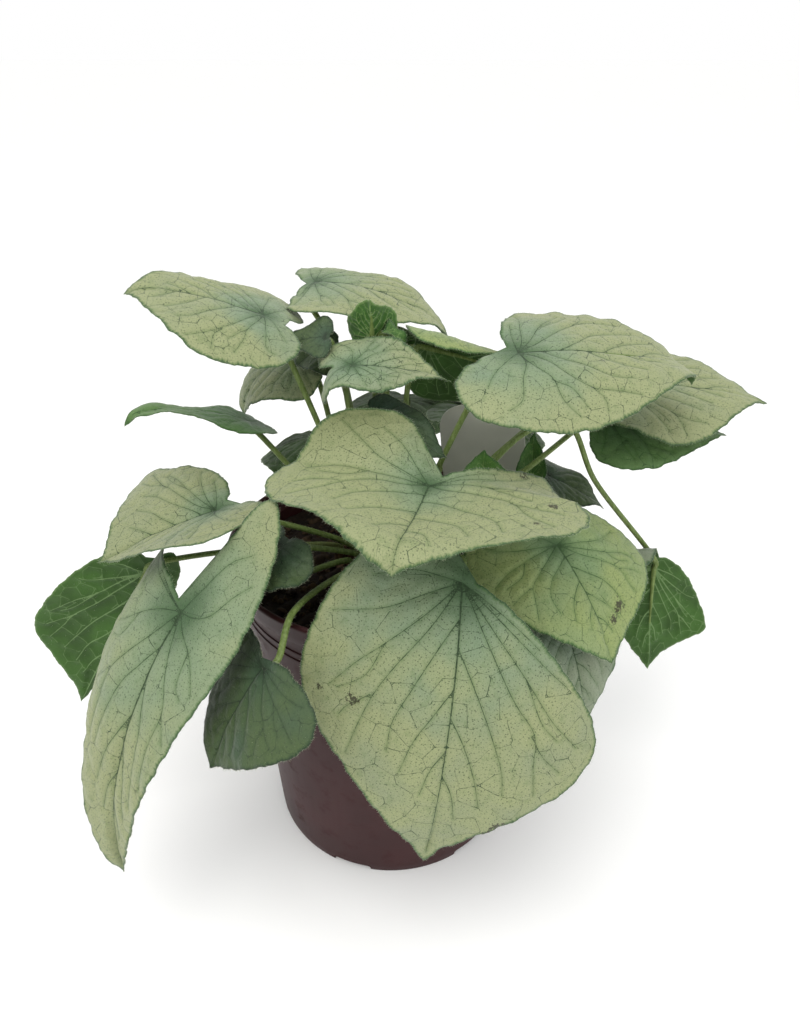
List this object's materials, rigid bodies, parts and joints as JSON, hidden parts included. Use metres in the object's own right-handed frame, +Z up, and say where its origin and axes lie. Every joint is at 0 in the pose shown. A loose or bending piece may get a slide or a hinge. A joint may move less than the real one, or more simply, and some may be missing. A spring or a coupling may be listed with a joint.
{
  "type": "potted looking glass brunnera",
  "caption": "Clump of long-stalked, heart-shaped silver leaves growing from compost in a round plastic nursery pot with a plastic plant label.",
  "frame": {"origin": "centre of the pot's foot, on the ground", "axes": "+Z up along the pot's axis, -Y towards the side that shows the two largest leaves"},
  "size_m": [0.3821, 0.2692, 0.3159],
  "materials": {
    "pot_plastic": "satin moulded polypropylene, dark maroon brown",
    "compost": "moist, crumbly and rough",
    "crown": "fibrous old leaf bases",
    "label_plastic": "thin satin card-like plastic, blank",
    "silver_leaf": "silvery upper side with fine dark green veins, mid green and matt underneath",
    "shaded_leaf": "darker green upper side with paler net of veins, matt",
    "young_leaf": "fresh mid green, hairy and matt"
  },
  "bodies": {
    "root": {"pot": "pot_plastic", "compost": "compost", "crown": "crown", "plant_label": "label_plastic", "leaf_front": "silver_leaf", "leaf_centre": "silver_leaf", "leaf_upper_left": "silver_leaf", "leaf_upper_back": "silver_leaf", "leaf_middle": "silver_leaf", "leaf_back_left": "silver_leaf", "leaf_behind_left": "shaded_leaf", "leaf_left_edge": "shaded_leaf", "leaf_left": "silver_leaf", "leaf_far_left": "silver_leaf", "leaf_big_left": "silver_leaf", "leaf_low_left": "shaded_leaf", "leaf_shade": "shaded_leaf", "leaf_right": "silver_leaf", "leaf_hanging": "silver_leaf", "leaf_far_right": "silver_leaf", "leaf_upper_right": "silver_leaf", "leaf_right_top": "silver_leaf", "leaf_right_under": "shaded_leaf", "leaf_behind_right": "silver_leaf", "leaf_behind_centre": "shaded_leaf", "leaf_young_front": "young_leaf", "leaf_young_fan": "young_leaf", "leaf_young_dark": "shaded_leaf", "leaf_young_narrow": "young_leaf", "leaf_pale_behind": "silver_leaf", "leaf_young_right": "young_leaf", "leaf_grey_behind": "shaded_leaf", "leaf_back_left_low": "silver_leaf", "leaf_back_middle": "silver_leaf", "leaf_back_right_low": "silver_leaf"}
  },
  "joints": []
}
